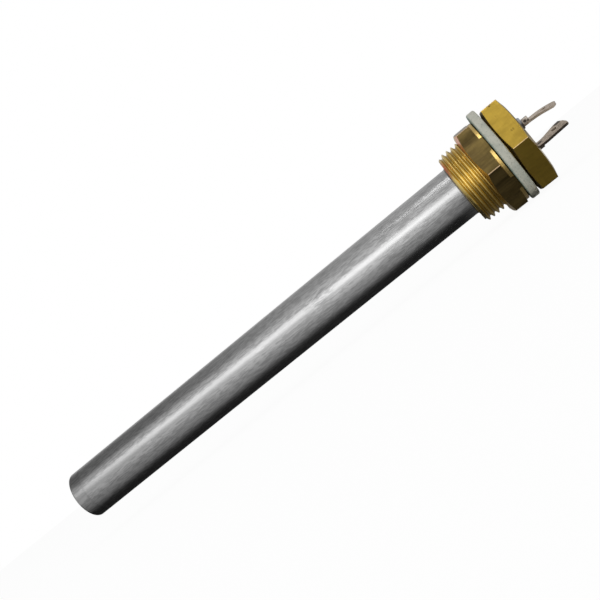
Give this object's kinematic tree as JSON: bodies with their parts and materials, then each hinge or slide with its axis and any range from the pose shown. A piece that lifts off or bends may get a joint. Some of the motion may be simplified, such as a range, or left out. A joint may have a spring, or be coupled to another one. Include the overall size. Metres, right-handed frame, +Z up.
{
  "type": "tank heating element",
  "caption": "Single-tube screw-in electric heating element: closed steel sheath, brass screw plug with hexagon head, lock nut, sealing ring and flat tab terminals.",
  "frame": {"origin": "on the tube's axis, in the plane where the hexagon head meets the sealing ring", "axes": "+X along the tube's axis towards the tab terminals, +Z up through a flat of the hexagon head, as it lies"},
  "size_m": [0.2122, 0.036, 0.0343],
  "materials": {
    "sheath_steel": "brushed along its length, with fine scratches",
    "solder": "dull",
    "plug_brass": "machined, slightly tarnished",
    "nut_brass": "machined, browner than the plug",
    "ring_rubber": "matt, speckled grey-green",
    "ceramic": "unglazed ceramic",
    "glazed_ceramic": "glazed ceramic",
    "magnesia": "compacted magnesium oxide",
    "resistance_alloy": "drawn nickel-chromium tape",
    "seal_compound": "poured compound, matt",
    "pin_steel": "nickel-plated",
    "tab_metal": "tinned, dulled pinkish grey"
  },
  "bodies": {
    "element": {"sheath_tube": "sheath_steel", "end_disc": "sheath_steel", "solder_fillet": "solder", "screw_plug": "plug_brass", "end_insulator": "ceramic", "core_1": "magnesia", "core_2": "magnesia", "core_3": "magnesia", "core_4": "magnesia", "core_5": "magnesia", "winding": "resistance_alloy", "lead_back": "resistance_alloy", "lead_out": "resistance_alloy", "magnesia_fill": "magnesia", "head_insulator": "ceramic", "head_seal": "seal_compound", "insulator_bush_upper": "glazed_ceramic", "insulator_bush_lower": "glazed_ceramic", "pin_upper": "pin_steel", "pin_lower": "pin_steel", "tab_upper": "tab_metal", "tab_lower": "tab_metal"},
    "ring": {"sealing_ring": "ring_rubber"},
    "nut": {"lock_nut": "nut_brass"}
  },
  "joints": [
    {"name": "ring_slide", "type": "slide", "parent": "element", "child": "ring", "axis": [-1, 0, 0], "range_m": [0, 0.01512]},
    {"name": "nut_turn", "type": "hinge", "parent": "ring", "child": "nut", "pos_m": [0, 0, 0], "axis": [-1, 0, 0], "range_deg": [0, 3000]}
  ],
  "couplings": [
    {"joint": "nut_turn", "follows": "ring_slide", "rad_per_m": 3463.2}
  ]
}
